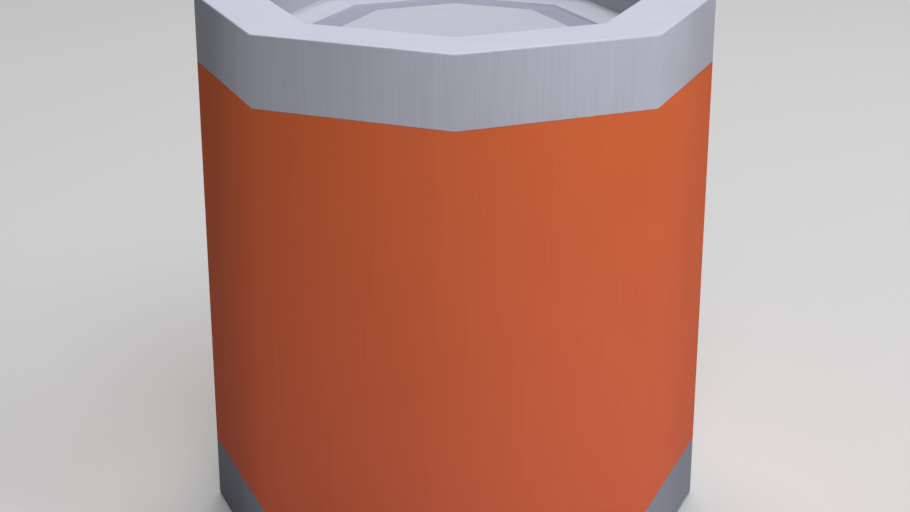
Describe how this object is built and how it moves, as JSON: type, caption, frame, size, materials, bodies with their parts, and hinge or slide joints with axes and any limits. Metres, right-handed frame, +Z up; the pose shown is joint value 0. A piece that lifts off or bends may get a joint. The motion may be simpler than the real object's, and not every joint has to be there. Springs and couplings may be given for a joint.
{
  "type": "drink can",
  "caption": "Squat sealed drink can with an octagonal body, a flat rim, a recessed end with a pressed ring, and an orange painted field between bare metal bands.",
  "frame": {"origin": "centre of the base, on the plane that the can stands on", "axes": "+Z up along the can's axis, -Y towards the upright corner that faces the viewer"},
  "size_m": [0.0678, 0.0678, 0.0727],
  "materials": {
    "orange_lacquer": "satin orange lacquer on the wall, between two bare metal bands",
    "bare_metal": "satin drawn aluminium on the rim, end, base and both bands"
  },
  "bodies": {
    "root": {"can": "orange_lacquer"}
  },
  "joints": []
}
